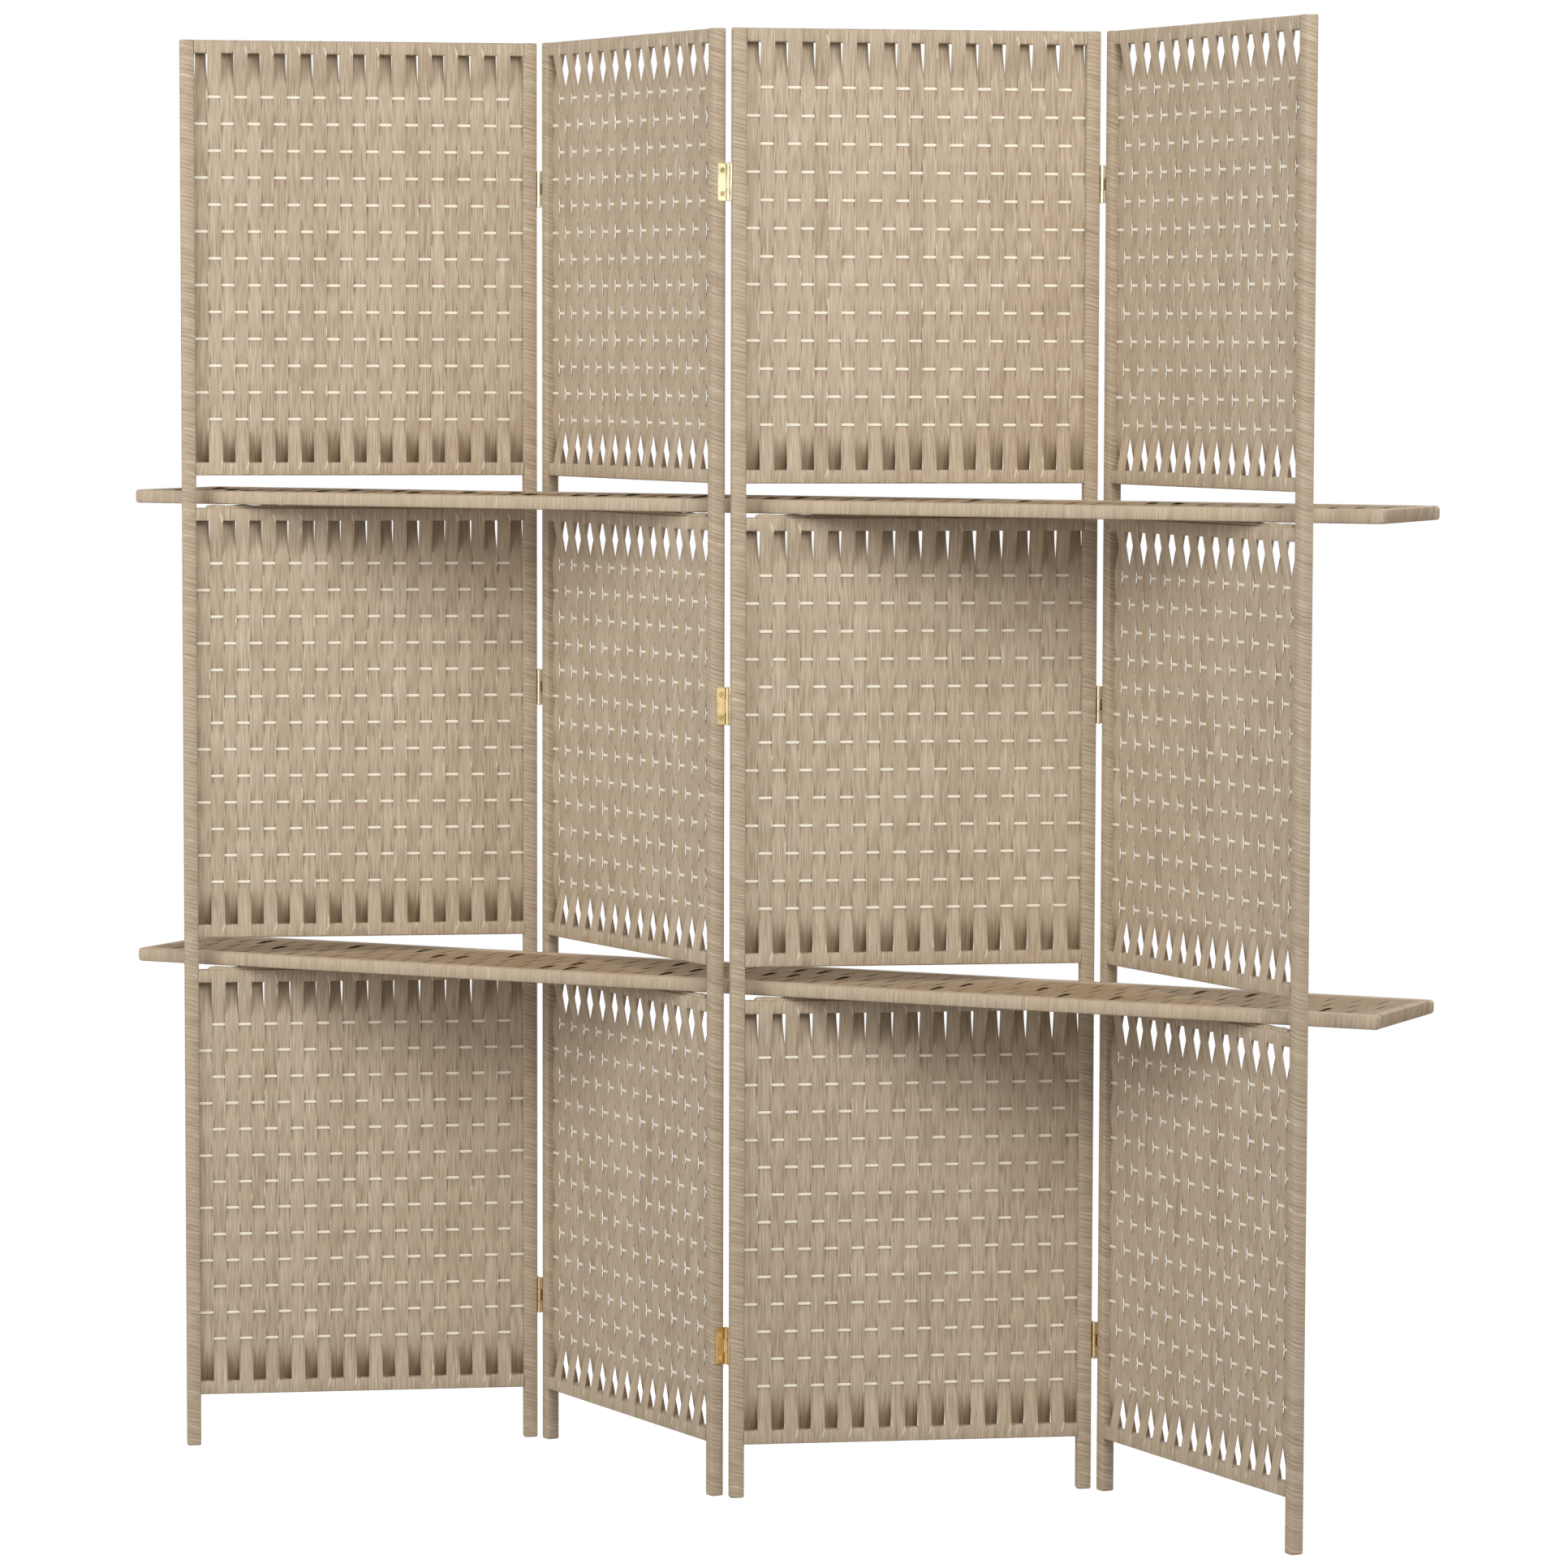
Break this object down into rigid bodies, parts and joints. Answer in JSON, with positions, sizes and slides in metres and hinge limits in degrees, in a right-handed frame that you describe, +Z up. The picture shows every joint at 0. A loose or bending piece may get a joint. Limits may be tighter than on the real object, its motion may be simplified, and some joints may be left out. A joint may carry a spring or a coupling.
{
  "type": "folding screen with shelves",
  "caption": "Folding room screen of woven panels in wrapped frames, hinged in a zigzag, with long shelves laid through slots in the panels.",
  "frame": {"origin": "on the floor, at the middle of the screen's length and depth", "axes": "+Z up, X along the shelves with the first panel towards -X, -Y towards the viewer"},
  "size_m": [1.7, 0.2825, 1.8],
  "materials": {
    "wrapped_frame": "fibre cord wound over a wooden core, matt",
    "woven_ribbon": "flat plant-fibre ribbon, matt with fine lengthwise streaks",
    "brass": "bright brass plate"
  },
  "bodies": {
    "panel_2": {"stile_left_2": "wrapped_frame", "stile_right_2": "wrapped_frame", "lower_woven_section_2": "woven_ribbon", "middle_woven_section_2": "woven_ribbon", "upper_woven_section_2": "woven_ribbon", "hinge_1_2_bottom_right_leaf": "brass", "hinge_1_2_middle_right_leaf": "brass", "hinge_1_2_top_right_leaf": "brass", "hinge_2_3_bottom_left_leaf": "brass", "hinge_2_3_bottom_pin": "brass", "hinge_2_3_middle_left_leaf": "brass", "hinge_2_3_middle_pin": "brass", "hinge_2_3_top_left_leaf": "brass", "hinge_2_3_top_pin": "brass"},
    "panel_1": {"stile_left_1": "wrapped_frame", "stile_right_1": "wrapped_frame", "lower_woven_section_1": "woven_ribbon", "middle_woven_section_1": "woven_ribbon", "upper_woven_section_1": "woven_ribbon", "hinge_1_2_bottom_left_leaf": "brass", "hinge_1_2_bottom_pin": "brass", "hinge_1_2_middle_left_leaf": "brass", "hinge_1_2_middle_pin": "brass", "hinge_1_2_top_left_leaf": "brass", "hinge_1_2_top_pin": "brass"},
    "panel_3": {"stile_left_3": "wrapped_frame", "stile_right_3": "wrapped_frame", "lower_woven_section_3": "woven_ribbon", "middle_woven_section_3": "woven_ribbon", "upper_woven_section_3": "woven_ribbon", "hinge_2_3_bottom_right_leaf": "brass", "hinge_2_3_middle_right_leaf": "brass", "hinge_2_3_top_right_leaf": "brass", "hinge_3_4_bottom_left_leaf": "brass", "hinge_3_4_bottom_pin": "brass", "hinge_3_4_middle_left_leaf": "brass", "hinge_3_4_middle_pin": "brass", "hinge_3_4_top_left_leaf": "brass", "hinge_3_4_top_pin": "brass"},
    "panel_4": {"stile_left_4": "wrapped_frame", "stile_right_4": "wrapped_frame", "lower_woven_section_4": "woven_ribbon", "middle_woven_section_4": "woven_ribbon", "upper_woven_section_4": "woven_ribbon", "hinge_3_4_bottom_right_leaf": "brass", "hinge_3_4_middle_right_leaf": "brass", "hinge_3_4_top_right_leaf": "brass"},
    "lower_shelf": {"lower_shelf_front_rail": "wrapped_frame", "lower_shelf_rear_rail": "wrapped_frame", "lower_shelf_left_end": "wrapped_frame", "lower_shelf_right_end": "wrapped_frame", "lower_shelf_deck": "woven_ribbon"},
    "upper_shelf": {"upper_shelf_front_rail": "wrapped_frame", "upper_shelf_rear_rail": "wrapped_frame", "upper_shelf_left_end": "wrapped_frame", "upper_shelf_right_end": "wrapped_frame", "upper_shelf_deck": "woven_ribbon"}
  },
  "joints": [
    {"name": "fold_2_3", "type": "hinge", "parent": "panel_2", "child": "panel_3", "pos_m": [0.01149, -0.12037, 0], "axis": [0, 0, 1], "range_deg": [-6, 111.4]},
    {"name": "fold_1_2", "type": "hinge", "parent": "panel_2", "child": "panel_1", "pos_m": [-0.37869, 0.12037, 0], "axis": [0, 0, 1], "range_deg": [-6, 111.4]},
    {"name": "fold_3_4", "type": "hinge", "parent": "panel_3", "child": "panel_4", "pos_m": [0.40168, 0.12037, 0], "axis": [0, 0, 1], "range_deg": [-109.11, 5.9]},
    {"name": "lower_shelf_turn", "type": "hinge", "parent": "panel_2", "child": "lower_shelf", "pos_m": [-0.1836, 0, 0], "axis": [0, 0, 1], "range_deg": [-3, 55.7]},
    {"name": "upper_shelf_turn", "type": "hinge", "parent": "panel_2", "child": "upper_shelf", "pos_m": [-0.1836, 0, 0], "axis": [0, 0, 1], "range_deg": [-3, 55.7]}
  ],
  "couplings": [
    {"joint": "fold_1_2", "follows": "fold_2_3", "ratio": 1},
    {"joint": "fold_3_4", "follows": "fold_2_3", "ratio": -0.97935},
    {"joint": "lower_shelf_turn", "follows": "fold_2_3", "ratio": 0.5},
    {"joint": "upper_shelf_turn", "follows": "fold_2_3", "ratio": 0.5}
  ]
}
